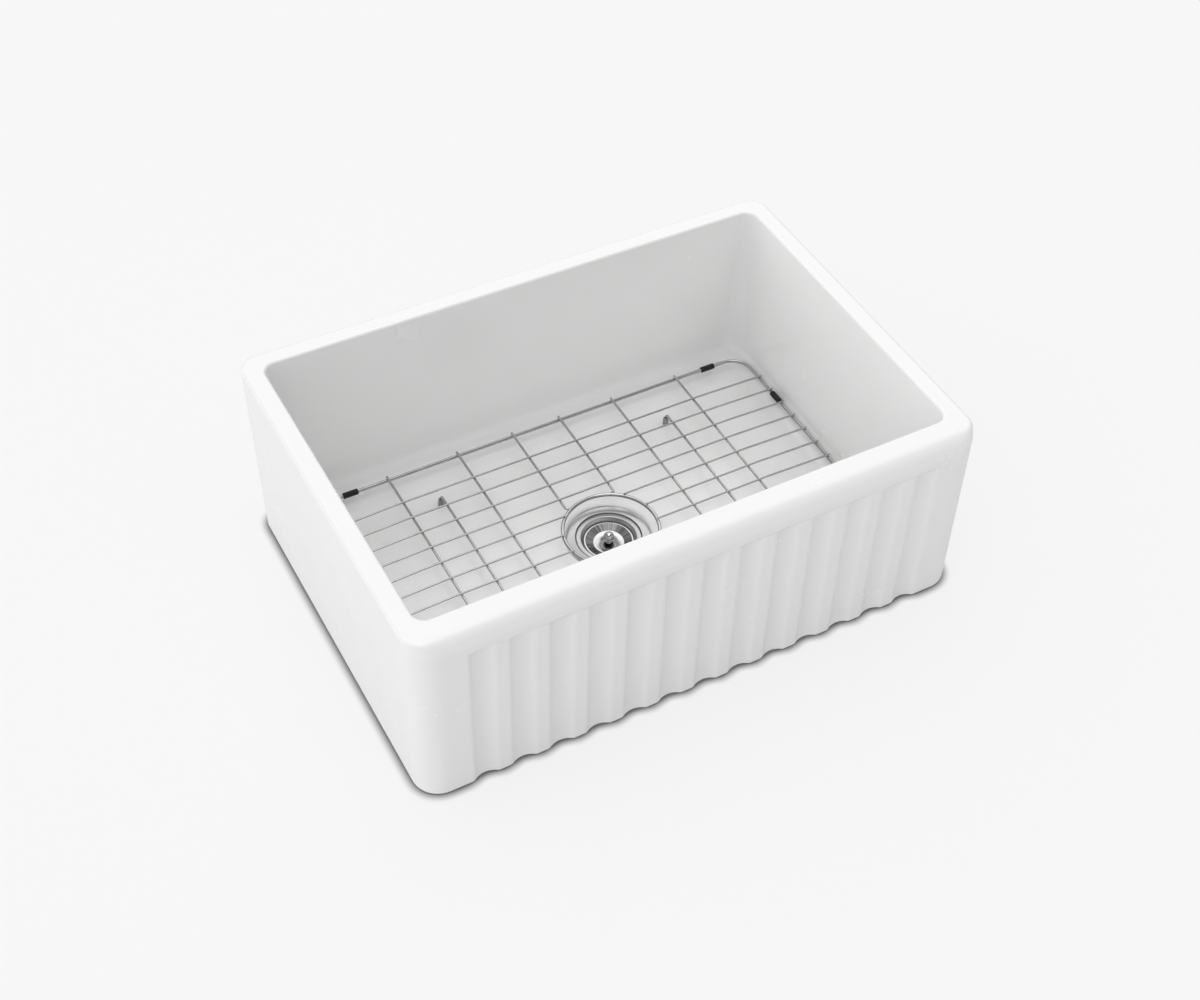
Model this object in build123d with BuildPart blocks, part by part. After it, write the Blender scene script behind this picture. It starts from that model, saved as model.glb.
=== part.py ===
from build123d import *
from math import acos, asin, atan, cos, degrees, pi, radians, sin, sqrt, tan
import os

# Farmhouse apron front sink with a fluted apron, a loose bottom grid and a
# low basket strainer.  Millimetres, +Z up.  The base of the sink lies on Z = 0,
# the origin is at the middle of its outline and the apron faces -Y.

# ---------------------------------------------------------------- basin body
overall_width = 762.0
overall_depth = 533.0
overall_height = 268.0
front_corner_radius = 34.0
back_corner_radius = 24.0
front_top_round = 21.0
rim_top_round = 4.5
base_round = 3.0
back_lean = 12.0

side_rim = 25.4
back_rim = 24.4
front_rim = 43.6
rim_inner_round = 3.0
floor_level = 28.0
side_wall_lean = 17.0
back_wall_lean = 15.0
front_wall_lean = 10.0
bowl_round = 22.0

# ---------------------------------------------------------------- apron flutes
flute_count = 13
flute_end_margin = 56.0
flute_width = 32.0
flute_depth = 6.3
flute_arris_round = 6.0
apron_band_height = 30.0

# ---------------------------------------------------------------- drain seat in the basin
drain_y = -13.5
seat_width = 10.0
seat_depth = 2.6
seat_clearance = 0.9
seat_bevel = 3.0
drain_lip_thickness = 12.4
recess_clearance = 8.0

# ---------------------------------------------------------------- basket strainer
flange_radius = 56.5
flange_thickness = 1.6
flange_dip = 0.8
flange_edge_round = 0.7
flange_seal_thickness = 0.8
flange_width = 12.9
basket_ledge_drop = 2.5
strainer_ledge_width = 3.1
neck_wall = 1.4
strainer_wall = 1.5
thread_step = 3.2
strainer_web_level = 1.5
strainer_web_thickness = 2.0
outlet_bore_radius = 19.0
outlet_wall = 1.6
outlet_end_level = 0.4
ring_fit = 0.3
thread_fit = 0.05
ring_sides = 32
gasket_width = 16.2
gasket_thickness = 2.5
washer_width = 15.2
washer_thickness = 1.2
locknut_width = 13.2
locknut_height = 6.8
locknut_wrench_notches = 8
locknut_notch_width = 9.0
locknut_notch_depth = 4.0
locknut_flange_height = 2.2

# ---------------------------------------------------------------- basket and its lid
basket_clearance = 0.6
seat_gap = 0.1
basket_rim_thickness = 1.4
basket_rim_width = 5.6
basket_throat_inset = 3.8
basket_wall = 1.2
basket_throat_drop = 4.0
lid_ledge_drop = 7.4
lid_ledge_width = 2.6
basket_foot_taper = 4.0
basket_floor_gap = 3.3
basket_slots = 18
basket_slot_width = 2.4
basket_slot_height = 6.0
basket_slot_reach = 12.4
basket_floor_holes = 8
basket_floor_hole_radius = 2.6
basket_floor_hole_circle = 17.0

lid_clearance = 0.5
lid_seal_thickness = 0.8
lid_sheet = 0.9
lid_rim_width = 2.0
lid_dish_width = 10.7
lid_dish_depth = 3.6
knob_ball_radius = 7.3
knob_rise = 10.0
knob_neck_radius = 2.6
knob_base_radius = 4.0
knob_base_height = 1.4
knob_ball_steps = 9
knob_core_radius = 1.0
knob_sides = 16
knob_stud_radius = 2.4
knob_stud_length = 5.4
lid_nut_across_flats = 8.0
lid_nut_height = 3.2

# ---------------------------------------------------------------- bottom grid
frame_wire_radius = 2.5
cross_wire_radius = 1.75
long_wire_radius = 1.4
drain_ring_wire_radius = 2.5
drain_ring_radius = 63.8
drain_ring_y = -19.5
drain_ring_sides = 32
grid_floor_clearance = 12.6
grid_side_clearance = 7.6
grid_back_clearance = 28.1
grid_front_clearance = 7.7
frame_corner_radius = 30.0
wire_overhang = 3.0

long_wire_count = 11
end_wire_inset = 53.1
outer_cross_x = 221.3
middle_cross_x = 118.8
inner_cross_x = 36.1
leg_wire_x = 172.0
cross_wire_neck = 58.5
neck_length = 6.2
neck_turn = 75.0
neck_bend_radius = 3.0
leg_inset = 8.0
leg_bend_radius = 6.0
flex_start = 12.0
flex_end = 8.0

foot_radius = 4.2
foot_height = 13.0
foot_pad_thickness = 1.5
bumper_radius = 4.1
bumper_length = 21.0
bumper_fit = 0.05
corner_bumper_inset = 56.0
round_sides = 12
bend_cuts = 3

# ---------------------------------------------------------------- places worked out from the sizes
half_width = overall_width / 2
front_face = -overall_depth / 2
back_face = overall_depth / 2
band_level = overall_height - front_top_round
edge_level = overall_height - rim_top_round
bowl_foot_half_width = half_width - side_rim - side_wall_lean
bowl_foot_back = back_face - back_rim - back_wall_lean
bowl_foot_front = front_face + front_rim + front_wall_lean
flute_pitch = (overall_width - 2 * flute_end_margin) / flute_count
seat_level = floor_level - seat_depth
seat_radius = flange_radius + seat_clearance
lip_underside = seat_level - drain_lip_thickness

drain_hole_radius = flange_radius - seat_width
strainer_bore_radius = flange_radius - flange_width
flange_underside = seat_level + flange_seal_thickness
flange_top = flange_underside + flange_thickness
basket_ledge_level = flange_top - flange_dip - basket_ledge_drop
cup_bore_radius = strainer_bore_radius - strainer_ledge_width
neck_radius = strainer_bore_radius + neck_wall
neck_bottom = basket_ledge_level - strainer_wall
strainer_thread_radius = neck_radius - thread_step
gasket_radius = strainer_thread_radius + gasket_width
washer_radius = strainer_thread_radius + washer_width
locknut_radius = strainer_thread_radius + locknut_width
underside_recess_radius = gasket_radius + recess_clearance
gasket_bottom = lip_underside - gasket_thickness
washer_bottom = gasket_bottom - washer_thickness
locknut_bottom = washer_bottom - locknut_height

basket_rim_radius = strainer_bore_radius - basket_clearance
basket_rim_bottom = basket_ledge_level + seat_gap
basket_rim_top = basket_rim_bottom + basket_rim_thickness
mouth_radius = basket_rim_radius - basket_rim_width
throat_radius = mouth_radius - basket_throat_inset
throat_level = basket_rim_top - basket_throat_drop
lid_ledge_level = basket_rim_top - lid_ledge_drop
lid_ledge_radius = throat_radius - lid_ledge_width
basket_foot_radius = lid_ledge_radius - basket_foot_taper
web_top = strainer_web_level + strainer_web_thickness
basket_floor_bottom = web_top + basket_floor_gap
basket_floor_top = basket_floor_bottom + basket_wall

lid_radius = throat_radius - lid_clearance
lid_rim_bottom = lid_ledge_level + seat_gap + lid_seal_thickness
lid_rim_top = lid_rim_bottom + lid_sheet
lid_dish_radius = lid_radius - lid_rim_width
lid_disc_radius = lid_dish_radius - lid_dish_width
lid_disc_top = lid_rim_top - lid_dish_depth
lid_disc_bottom = lid_disc_top - lid_sheet
knob_centre = lid_disc_top + knob_rise

grid_half_width = bowl_foot_half_width - grid_side_clearance
grid_back = bowl_foot_back - grid_back_clearance
grid_front = bowl_foot_front + grid_front_clearance
frame_level = floor_level + grid_floor_clearance + frame_wire_radius
cross_level = frame_level + frame_wire_radius + cross_wire_radius
long_level = cross_level + cross_wire_radius + long_wire_radius
ring_level = long_level - long_wire_radius - drain_ring_wire_radius
long_end_level = frame_level + frame_wire_radius + long_wire_radius
grid_middle = (grid_back + grid_front) / 2
first_wire_y = grid_back - end_wire_inset
long_wire_pitch = 2 * (first_wire_y - grid_middle) / (long_wire_count - 1)

os.makedirs("parts", exist_ok=True)


def rounded_outline(level, side, front, back, front_radius, back_radius):
    """Body or bowl outline at one level, from its half width and its front and back edges."""
    with BuildSketch(Plane.XY.offset(level)) as outline:
        with Locations((0, (front + back) / 2)):
            Rectangle(2 * side, back - front)
        fillet(outline.vertices().group_by(Axis.Y)[0], front_radius)
        fillet(outline.vertices().group_by(Axis.Y)[-1], back_radius)
    return outline.sketch


def turned(points, centre_y=drain_y):
    """Solid of revolution about the drain axis from radius and height pairs."""
    axis_plane = Plane(origin=(0, centre_y, 0), x_dir=(1, 0, 0), z_dir=(0, -1, 0))
    with BuildPart() as solid:
        with BuildSketch(axis_plane):
            with BuildLine():
                Polyline(*points, close=True)
            make_face()
        revolve(axis=Axis((0, centre_y, 0), (0, 0, 1)))
    return solid.part


def ring_loop(radius, level, centre_y, sides):
    """Corners of a many-sided loop round an upright axis, from the middle of its first side."""
    reach = radius / cos(pi / sides)
    turns = [2 * pi * (step + 0.5) / sides for step in range(sides)]
    corners = [(reach * cos(turn), centre_y + reach * sin(turn), level) for turn in turns]
    return [(radius, centre_y, level), *corners]


def many_sided(points, sides=ring_sides):
    """Ring of many flat sides about the drain axis from radius and height pairs."""
    radius, level = points[0]
    section_plane = Plane(origin=(0, drain_y, 0), x_dir=(1, 0, 0), z_dir=(0, -1, 0))
    with BuildPart() as solid:
        with BuildLine() as loop:
            Polyline(*ring_loop(radius, level, drain_y, sides), close=True)
        with BuildSketch(section_plane) as section:
            with BuildLine():
                Polyline(*points, close=True)
            make_face()
        sweep(section.sketch, path=loop.line, transition=Transition.RIGHT)
    return solid.part


def disc(radius, bottom, top, mode=Mode.ADD, sides=ring_sides):
    """Many-sided disc about the drain axis, added to the part at hand or cut from it."""
    with BuildSketch(Plane.XY.offset(bottom)) as face:
        with Locations((0, drain_y)):
            RegularPolygon(radius, sides, major_radius=False, rotation=180 / sides)
    extrude(face.sketch, amount=top - bottom, mode=mode)


def cut_bends(points, bend):
    """Path points with each inner corner turned into a few short runs round the bend."""
    stops = [Vector(*points[0])]
    for before, corner, after in zip(points, points[1:], points[2:]):
        middle = Vector(*corner)
        inward = (Vector(*before) - middle).normalized()
        outward = (Vector(*after) - middle).normalized()
        reach = bend / tan(radians(inward.get_angle(outward)) / 2)
        for step in range(bend_cuts + 1):
            share = step / bend_cuts
            stops.append(middle + inward * (reach * (1 - share) ** 2) + outward * (reach * share**2))
    stops.append(Vector(*points[-1]))
    return [(stop.X, stop.Y) for stop in stops]


def wire(path_plane, points, radius, bend=0.0):
    """Wire along straight runs, with a few mitred cuts round each bend where one is given."""
    with BuildPart() as rod:
        with BuildLine(path_plane) as path:
            Polyline(*(cut_bends(points, bend) if bend > 0 else points))
        with BuildSketch(Plane(origin=path.line @ 0, z_dir=path.line % 0)):
            RegularPolygon(radius, round_sides)
        sweep(transition=Transition.RIGHT)
    return rod.part


def save(part, name):
    """Label one finished piece and write it as its own node."""
    part.label = name
    export_step(part, f"parts/{name}.step")


# ---------------------------------------------------------------- basin
def round_inset(radius, depth_below_top):
    """How far a quarter round has drawn in at a depth under the top face."""
    if depth_below_top >= radius:
        return 0.0
    return radius - sqrt(radius**2 - (radius - depth_below_top) ** 2)


def body_outline(level):
    """Outline of the outer body, with its leaning back and rounded top and base edges."""
    depth = overall_height - level
    base_inset = round_inset(base_round, level)
    side_inset = round_inset(rim_top_round, depth) + base_inset
    front_inset = round_inset(front_top_round, depth) + base_inset
    lean = back_lean * max(0.0, edge_level - level) / edge_level
    return rounded_outline(
        level,
        half_width - side_inset,
        front_face + front_inset,
        back_face - side_inset - lean,
        front_corner_radius - front_inset,
        back_corner_radius - side_inset,
    )


body_levels = [base_round * (1 - cos(radians(angle))) for angle in (0, 45, 90)]
roll_at_edge = degrees(asin((edge_level - band_level) / front_top_round))
front_roll_angles = [roll_at_edge * step / 4 for step in range(5)]
body_levels += [band_level + front_top_round * sin(radians(angle)) for angle in front_roll_angles]
body_levels += [edge_level + rim_top_round * sin(radians(angle)) for angle in (22.5, 45, 67.5, 90)]

bowl_depth = overall_height - floor_level
mouth_back = back_face - back_rim
mouth_front = front_face + front_rim
wall_leans = (
    (Axis.X, 0, side_wall_lean),
    (Axis.X, -1, side_wall_lean),
    (Axis.Y, 0, front_wall_lean),
    (Axis.Y, -1, back_wall_lean),
)
with BuildPart() as bowl:
    with BuildSketch(Plane.XY.offset(floor_level)):
        with Locations((0, (mouth_back + mouth_front) / 2)):
            Rectangle(2 * (half_width - side_rim), mouth_back - mouth_front)
    extrude(amount=bowl_depth)
    for across, end, lean in wall_leans:
        wall = bowl.faces().sort_by(across)[end]
        draft(wall, Plane.XY.offset(overall_height), -degrees(atan(lean / bowl_depth)))
    mouth_edges = bowl.faces().sort_by(Axis.Z)[-1].edges()
    fillet([edge for edge in bowl.edges() if edge not in mouth_edges], bowl_round)

flute_arc_radius = ((flute_width / 2) ** 2 + flute_depth**2) / (2 * flute_depth)
flute_top = overall_height - apron_band_height
with BuildPart() as flutes:
    with BuildSketch(Plane.XY) as wave:
        strip = flute_pitch
        with Locations((0, front_face - strip / 2)):
            Rectangle(flute_count * flute_pitch, strip)
        flute_axis_y = front_face + flute_depth - flute_arc_radius
        with Locations((0, flute_axis_y)):
            with GridLocations(flute_pitch, 1, flute_count, 1):
                Circle(flute_arc_radius)
        arrises = wave.vertices().filter_by_position(Axis.Y, front_face - 0.01, front_face + 0.01)
        half_run = flute_pitch * (flute_count - 1) / 2 + flute_width / 2
        arrises = arrises.filter_by_position(Axis.X, -half_run - 0.01, half_run + 0.01)
        fillet(arrises, flute_arris_round)
    extrude(amount=flute_top)

drain_opening = turned(
    [
        (0, floor_level + bowl_round),
        (seat_radius + seat_bevel, floor_level + bowl_round),
        (seat_radius + seat_bevel, floor_level),
        (seat_radius, seat_level),
        (drain_hole_radius, seat_level),
        (drain_hole_radius, lip_underside),
        (underside_recess_radius, lip_underside),
        (underside_recess_radius, 0),
        (0, 0),
    ]
)

with BuildPart() as sink_basin:
    loft(sections=[body_outline(level) for level in body_levels], ruled=True)
    add(bowl.part, mode=Mode.SUBTRACT)
    rim_face = sink_basin.faces().filter_by(Plane.XY).sort_by(Axis.Z)[-1]
    fillet(rim_face.inner_wires()[0].edges(), rim_inner_round)
    add(flutes.part, mode=Mode.SUBTRACT)
    add(drain_opening, mode=Mode.SUBTRACT)
save(sink_basin.part, "sink_basin")

# ---------------------------------------------------------------- strainer fixed in the basin
outlet_radius = outlet_bore_radius + outlet_wall
with BuildPart() as strainer_body:
    add(
        many_sided(
            [
                (outlet_bore_radius, strainer_web_level),
                (strainer_thread_radius, strainer_web_level),
                (strainer_thread_radius, neck_bottom),
                (neck_radius, neck_bottom),
                (neck_radius, flange_underside),
                (flange_radius, flange_underside),
                (flange_radius, flange_top),
                (flange_radius - seat_bevel, flange_top),
                (strainer_bore_radius, flange_top - flange_dip),
                (strainer_bore_radius, basket_ledge_level),
                (cup_bore_radius, basket_ledge_level),
                (cup_bore_radius, web_top),
                (outlet_bore_radius, web_top),
            ]
        )
    )
    disc(outlet_radius, outlet_end_level, web_top)
    with BuildSketch(Plane.XY.offset(outlet_end_level)):
        with Locations((0, drain_y)):
            Circle(outlet_bore_radius)
    extrude(amount=web_top - outlet_end_level, mode=Mode.SUBTRACT)
save(strainer_body.part, "strainer_body")

with BuildPart() as flange_seal:
    disc(flange_radius - flange_edge_round, seat_level, flange_underside)
    disc(drain_hole_radius, seat_level, flange_underside, Mode.SUBTRACT)
save(flange_seal.part, "flange_seal")

ring_bore = strainer_thread_radius + ring_fit
with BuildPart() as drain_gasket:
    disc(gasket_radius, gasket_bottom, lip_underside)
    disc(ring_bore, gasket_bottom, lip_underside, Mode.SUBTRACT)
save(drain_gasket.part, "drain_gasket")

with BuildPart() as friction_washer:
    disc(washer_radius, washer_bottom, gasket_bottom)
    disc(ring_bore, washer_bottom, gasket_bottom, Mode.SUBTRACT)
save(friction_washer.part, "friction_washer")

nut_bore = strainer_thread_radius + thread_fit
nut_collar_bottom = washer_bottom - locknut_flange_height
with BuildPart() as locknut:
    disc(locknut_radius, locknut_bottom, washer_bottom)
    disc(nut_bore, locknut_bottom, washer_bottom, Mode.SUBTRACT)
    with BuildSketch(Plane.XY.offset(locknut_bottom)):
        with Locations((0, drain_y)):
            with PolarLocations(locknut_radius, locknut_wrench_notches):
                Rectangle(2 * locknut_notch_depth, locknut_notch_width)
    extrude(amount=nut_collar_bottom - locknut_bottom, mode=Mode.SUBTRACT)
save(locknut.part, "locknut")

# ---------------------------------------------------------------- lift-out basket
slot_bottom = basket_floor_top + basket_wall
basket_shoulder = lid_ledge_level - basket_wall
with BuildPart() as strainer_basket:
    add(
        many_sided(
            [
                (basket_floor_hole_radius, basket_floor_bottom),
                (basket_foot_radius, basket_floor_bottom),
                (lid_ledge_radius + basket_wall, basket_shoulder),
                (throat_radius + basket_wall, basket_shoulder),
                (throat_radius + basket_wall, throat_level),
                (mouth_radius + basket_wall, basket_rim_bottom),
                (basket_rim_radius, basket_rim_bottom),
                (basket_rim_radius, basket_rim_top),
                (mouth_radius, basket_rim_top),
                (throat_radius, throat_level),
                (throat_radius, lid_ledge_level),
                (lid_ledge_radius, lid_ledge_level),
                (basket_foot_radius - basket_wall, basket_floor_top),
                (basket_floor_hole_radius, basket_floor_top),
            ]
        )
    )
    with BuildSketch(Plane.XY.offset(slot_bottom)):
        with Locations((0, drain_y)):
            with PolarLocations((basket_foot_radius + lid_ledge_radius) / 2, basket_slots):
                Rectangle(basket_slot_reach, basket_slot_width)
    extrude(amount=basket_slot_height, mode=Mode.SUBTRACT)
    with BuildSketch(Plane.XY.offset(basket_floor_bottom)):
        with Locations((0, drain_y)):
            with PolarLocations(basket_floor_hole_circle, basket_floor_holes):
                RegularPolygon(basket_floor_hole_radius, round_sides)
    extrude(amount=basket_wall, mode=Mode.SUBTRACT)
save(strainer_basket.part, "strainer_basket")

# ---------------------------------------------------------------- lid of the basket
stud_hole = knob_stud_radius + thread_fit
with BuildPart() as basket_lid:
    add(
        many_sided(
            [
                (stud_hole, lid_disc_bottom),
                (lid_disc_radius, lid_disc_bottom),
                (lid_dish_radius, lid_rim_bottom),
                (lid_radius, lid_rim_bottom),
                (lid_radius, lid_rim_top),
                (lid_dish_radius, lid_rim_top),
                (lid_disc_radius, lid_disc_top),
                (stud_hole, lid_disc_top),
            ]
        )
    )
save(basket_lid.part, "basket_lid")

with BuildPart() as lid_seal:
    disc(lid_radius, lid_rim_bottom - lid_seal_thickness, lid_rim_bottom)
    disc(lid_dish_radius, lid_rim_bottom - lid_seal_thickness, lid_rim_bottom, Mode.SUBTRACT)
save(lid_seal.part, "lid_seal")

stud_bottom = lid_disc_bottom - knob_stud_length
base_top = lid_disc_top + knob_base_height
ball_start = -acos(knob_neck_radius / knob_ball_radius)
ball_end = acos(knob_core_radius / knob_ball_radius)
ball_step = (ball_end - ball_start) / knob_ball_steps
ball_angles = [ball_start + ball_step * step for step in range(knob_ball_steps + 1)]
ball_profile = [
    (knob_ball_radius * cos(angle), knob_centre + knob_ball_radius * sin(angle)) for angle in ball_angles
]
ball_top = knob_centre + knob_ball_radius * sin(ball_end)
knob_profile = [
    (knob_core_radius, stud_bottom),
    (knob_stud_radius, stud_bottom),
    (knob_stud_radius, lid_disc_top),
    (knob_base_radius, lid_disc_top),
    (knob_base_radius, base_top),
    *ball_profile,
]
with BuildPart() as lid_knob:
    add(many_sided(knob_profile, knob_sides))
    disc(knob_core_radius, stud_bottom, ball_top, sides=knob_sides)
save(lid_knob.part, "lid_knob")

with BuildPart() as lid_nut:
    with BuildSketch(Plane.XY.offset(lid_disc_bottom - lid_nut_height)):
        with Locations((0, drain_y)):
            RegularPolygon(lid_nut_across_flats / 2, 6, major_radius=False)
            Circle(stud_hole, mode=Mode.SUBTRACT)
    extrude(amount=lid_nut_height)
save(lid_nut.part, "lid_nut")

# ---------------------------------------------------------------- bottom grid: frame and drain ring
frame_corners = [
    (0, grid_back),
    (grid_half_width, grid_back),
    (grid_half_width, grid_front),
    (-grid_half_width, grid_front),
    (-grid_half_width, grid_back),
    (0, grid_back),
]
with BuildPart() as grid_frame:
    with BuildLine(Plane.XY.offset(frame_level)) as loop:
        Polyline(*cut_bends(frame_corners, frame_corner_radius)[:-1], close=True)
    with BuildSketch(Plane(origin=loop.line @ 0, z_dir=loop.line % 0)):
        RegularPolygon(frame_wire_radius, round_sides)
    sweep(path=loop.line, transition=Transition.RIGHT)
save(grid_frame.part, "grid_frame")

with BuildPart() as grid_drain_ring:
    with BuildLine() as ring_path:
        Polyline(*ring_loop(drain_ring_radius, ring_level, drain_ring_y, drain_ring_sides), close=True)
    with BuildSketch(Plane(origin=ring_path.line @ 0, z_dir=ring_path.line % 0)):
        RegularPolygon(drain_ring_wire_radius, round_sides)
    sweep(path=ring_path.line, transition=Transition.RIGHT)
save(grid_drain_ring.part, "grid_drain_ring")

# ---------------------------------------------------------------- bottom grid: long wires
frame_edge = grid_half_width + wire_overhang
rail_start = grid_half_width - flex_end
flex_x = outer_cross_x + flex_start


def long_wire(row_y, inner_x=None, side=1):
    """Long wire that flexes down onto the side rails, whole or from the drain ring outward."""
    outer_run = [(flex_x, long_level), (rail_start, long_end_level), (frame_edge, long_end_level)]
    if inner_x is None:
        points = [(-x, z) for x, z in reversed(outer_run)] + outer_run
    else:
        points = [(side * x, z) for x, z in [(inner_x, long_level)] + outer_run]
    row_plane = Plane(origin=(0, row_y, 0), x_dir=(1, 0, 0), z_dir=(0, -1, 0))
    return wire(row_plane, points, long_wire_radius)


for row in range(long_wire_count):
    row_y = first_wire_y - row * long_wire_pitch
    from_ring = abs(row_y - drain_ring_y)
    if from_ring > drain_ring_radius:
        save(long_wire(row_y), f"long_wire_{row + 1}")
    else:
        ring_x = sqrt(drain_ring_radius**2 - from_ring**2)
        save(long_wire(row_y, ring_x, -1), f"long_wire_{row + 1}_left")
        save(long_wire(row_y, ring_x, 1), f"long_wire_{row + 1}_right")

# ---------------------------------------------------------------- bottom grid: cross wires
cross_back = grid_back + wire_overhang
cross_front = grid_front - wire_overhang
cross_plane = Plane.XY.offset(cross_level)
whole_cross_wires = {
    "cross_wire_1": -outer_cross_x,
    "cross_wire_2": -middle_cross_x,
    "cross_wire_5": middle_cross_x,
    "cross_wire_6": outer_cross_x,
}
for name, x in whole_cross_wires.items():
    save(wire(cross_plane, [(x, cross_back), (x, cross_front)], cross_wire_radius), name)


def neck_wire(side, end_y, toward_back):
    """Cross wire that ends at the drain ring with a short bent neck."""
    direction = 1 if toward_back else -1
    bend_y = drain_ring_y + direction * cross_wire_neck
    x = side * inner_cross_x
    tip_x = x - side * neck_length * sin(radians(neck_turn))
    tip_y = bend_y - direction * neck_length * cos(radians(neck_turn))
    points = [(x, end_y), (x, bend_y), (tip_x, tip_y)]
    with BuildPart() as neck:
        add(wire(cross_plane, points, cross_wire_radius, neck_bend_radius))
        add(grid_drain_ring.part, mode=Mode.SUBTRACT)
    return neck.part


for number, side in ((3, -1), (4, 1)):
    save(neck_wire(side, cross_back, True), f"cross_wire_{number}_back")
    save(neck_wire(side, cross_front, False), f"cross_wire_{number}_front")

# ---------------------------------------------------------------- bottom grid: legs, feet and bumpers
leg_back = first_wire_y - leg_inset
leg_front = 2 * grid_middle - leg_back
leg_end_level = floor_level + seat_gap + foot_pad_thickness
foot_bottom = floor_level + seat_gap
for name, x in (("left", -leg_wire_x), ("right", leg_wire_x)):
    leg_plane = Plane(origin=(x, 0, 0), x_dir=(0, 1, 0), z_dir=(1, 0, 0))
    run = [
        (leg_back, leg_end_level),
        (leg_back, cross_level),
        (leg_front, cross_level),
        (leg_front, leg_end_level),
    ]
    save(wire(leg_plane, run, cross_wire_radius, leg_bend_radius), f"leg_wire_{name}")
    for end, y in (("back", leg_back), ("front", leg_front)):
        with BuildPart() as foot:
            with BuildSketch(Plane.XY.offset(foot_bottom)):
                with Locations((x, y)):
                    RegularPolygon(foot_radius, round_sides)
            extrude(amount=foot_height)
            with BuildSketch(Plane.XY.offset(leg_end_level)):
                with Locations((x, y)):
                    RegularPolygon(cross_wire_radius, round_sides)
            extrude(amount=foot_height, mode=Mode.SUBTRACT)
        save(foot.part, f"grid_foot_{end}_{name}")


def bumper(x, y, along_x):
    """Rubber sleeve round the frame wire."""
    axis = (1, 0, 0) if along_x else (0, 1, 0)
    with BuildPart() as sleeve:
        with BuildSketch(Plane(origin=(x, y, frame_level), z_dir=axis)):
            RegularPolygon(bumper_radius, round_sides)
            RegularPolygon(frame_wire_radius + bumper_fit, round_sides, mode=Mode.SUBTRACT)
        extrude(amount=bumper_length / 2, both=True)
    return sleeve.part


corner_bumper_x = grid_half_width - corner_bumper_inset
side_bumper_y = first_wire_y - 1.5 * long_wire_pitch
side_bumper_front_y = 2 * grid_middle - side_bumper_y
for name, side in (("left", -1), ("right", 1)):
    save(bumper(side * corner_bumper_x, grid_back, True), f"bumper_back_{name}")
    save(bumper(side * corner_bumper_x, grid_front, True), f"bumper_front_{name}")
    save(bumper(side * grid_half_width, side_bumper_y, False), f"bumper_{name}_back")
    save(bumper(side * grid_half_width, side_bumper_front_y, False), f"bumper_{name}_front")
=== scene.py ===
import math

import bmesh
import bpy
from bpy.props import FloatProperty, FloatVectorProperty, IntProperty, PointerProperty
from mathutils import Matrix, Vector


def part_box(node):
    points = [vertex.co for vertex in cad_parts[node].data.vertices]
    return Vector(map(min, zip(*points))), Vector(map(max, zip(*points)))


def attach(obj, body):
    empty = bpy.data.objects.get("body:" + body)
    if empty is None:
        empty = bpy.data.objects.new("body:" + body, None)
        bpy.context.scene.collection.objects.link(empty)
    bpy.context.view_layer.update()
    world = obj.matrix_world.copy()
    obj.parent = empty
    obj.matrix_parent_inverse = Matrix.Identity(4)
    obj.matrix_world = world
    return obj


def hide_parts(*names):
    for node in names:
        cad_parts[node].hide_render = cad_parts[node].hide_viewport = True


bl_info = {
    "name": "Farmhouse apron front sink",
    "version": (1, 0, 0),
    "blender": (4, 5, 0),
    "location": "3D View > Sidebar > Sink",
    "description": "Dresses the packed sink, its wire grid and its strainer, and sets up the stage",
    "category": "Object",
}

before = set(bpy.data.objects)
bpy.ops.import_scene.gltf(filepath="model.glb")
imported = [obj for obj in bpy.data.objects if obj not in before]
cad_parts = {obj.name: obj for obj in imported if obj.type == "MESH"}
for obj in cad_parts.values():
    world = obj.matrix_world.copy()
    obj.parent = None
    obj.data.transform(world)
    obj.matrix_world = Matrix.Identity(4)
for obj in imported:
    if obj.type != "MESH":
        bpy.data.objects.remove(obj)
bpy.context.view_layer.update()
MM = 0.001


# ---------------------------------------------------------------- places read from the frame
def corners(node):
    """Lowest and highest corner of a CAD node at rest, in metres."""
    low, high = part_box(node)
    return Vector(low), Vector(high)


def middle(node):
    """Centre of a CAD node's box, in metres."""
    low, high = corners(node)
    return (low + high) / 2


def levels(node):
    """Lowest and highest level of a CAD node."""
    low, high = corners(node)
    return low.z, high.z


def half_width(node):
    """Half of a CAD node's width from left to right, which is a turned piece's radius."""
    low, high = corners(node)
    return (high.x - low.x) / 2


BASIN_LOW, BASIN_HIGH = corners("sink_basin")
DRAIN = middle("strainer_body").xy
RING_BACK = corners("grid_drain_ring")[1].y
FRAME_LOW, FRAME_HIGH = corners("grid_frame")
DISC_RADIUS = 20.4 * MM
LID_RIM = 2 * MM
MERGE_DISTANCE = 1e-7


def length(name, default, description):
    """A length property shown in the scene's units."""
    return FloatProperty(name=name, default=default, unit="LENGTH", description=description)


def number(name, default, least, description):
    """A whole number property."""
    return IntProperty(name=name, default=default, min=least, description=description)


def amount(name, default, description):
    """A strength or brightness property."""
    return FloatProperty(name=name, default=default, description=description)


def colour(name, default, description):
    """A linear RGBA colour property."""
    return FloatVectorProperty(
        name=name, default=default, subtype="COLOR", size=4, min=0.0, max=1.0, description=description
    )


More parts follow.
